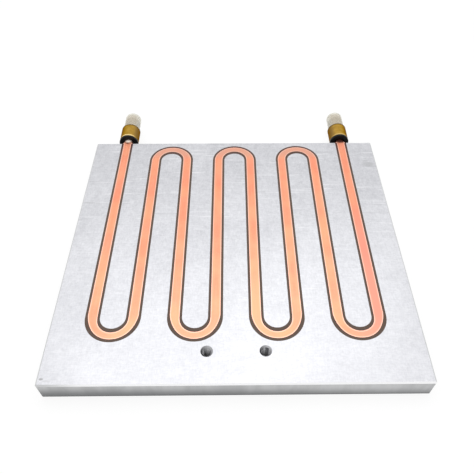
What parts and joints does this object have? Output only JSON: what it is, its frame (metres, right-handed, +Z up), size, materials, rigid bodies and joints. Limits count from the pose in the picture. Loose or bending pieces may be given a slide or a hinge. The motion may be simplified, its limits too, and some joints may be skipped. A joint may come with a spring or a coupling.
{
  "type": "liquid cooling cold plate",
  "caption": "Flat aluminium cold plate with a copper serpentine tube pressed flush into its top face, epoxy bonded, with capped brass connectors on the tube ends.",
  "frame": {"origin": "centre of the plate's bottom face", "axes": "+Z up, out of the cooling face; +Y out of the edge that carries the two ports; +X across the tube legs, from inlet to outlet"},
  "size_m": [0.3, 0.3305, 0.0256],
  "materials": {
    "aluminium_plate": "fine milled",
    "copper_tube": "machined flush",
    "epoxy": "cured resin",
    "brass": "turned",
    "black_collar": "moulded",
    "spring_steel": "rolled",
    "spacer_plastic": "moulded",
    "seal_rubber": "moulded",
    "cap_plastic": "translucent moulded"
  },
  "bodies": {
    "root": {"base_plate": "aluminium_plate", "coolant_tube": "copper_tube", "thermal_epoxy": "epoxy", "inlet_connector_body": "brass", "inlet_collar": "black_collar", "inlet_grip_ring": "spring_steel", "inlet_spacer": "spacer_plastic", "inlet_seal": "seal_rubber", "inlet_cap": "cap_plastic", "outlet_connector_body": "brass", "outlet_collar": "black_collar", "outlet_grip_ring": "spring_steel", "outlet_spacer": "spacer_plastic", "outlet_seal": "seal_rubber", "outlet_cap": "cap_plastic"}
  },
  "joints": []
}
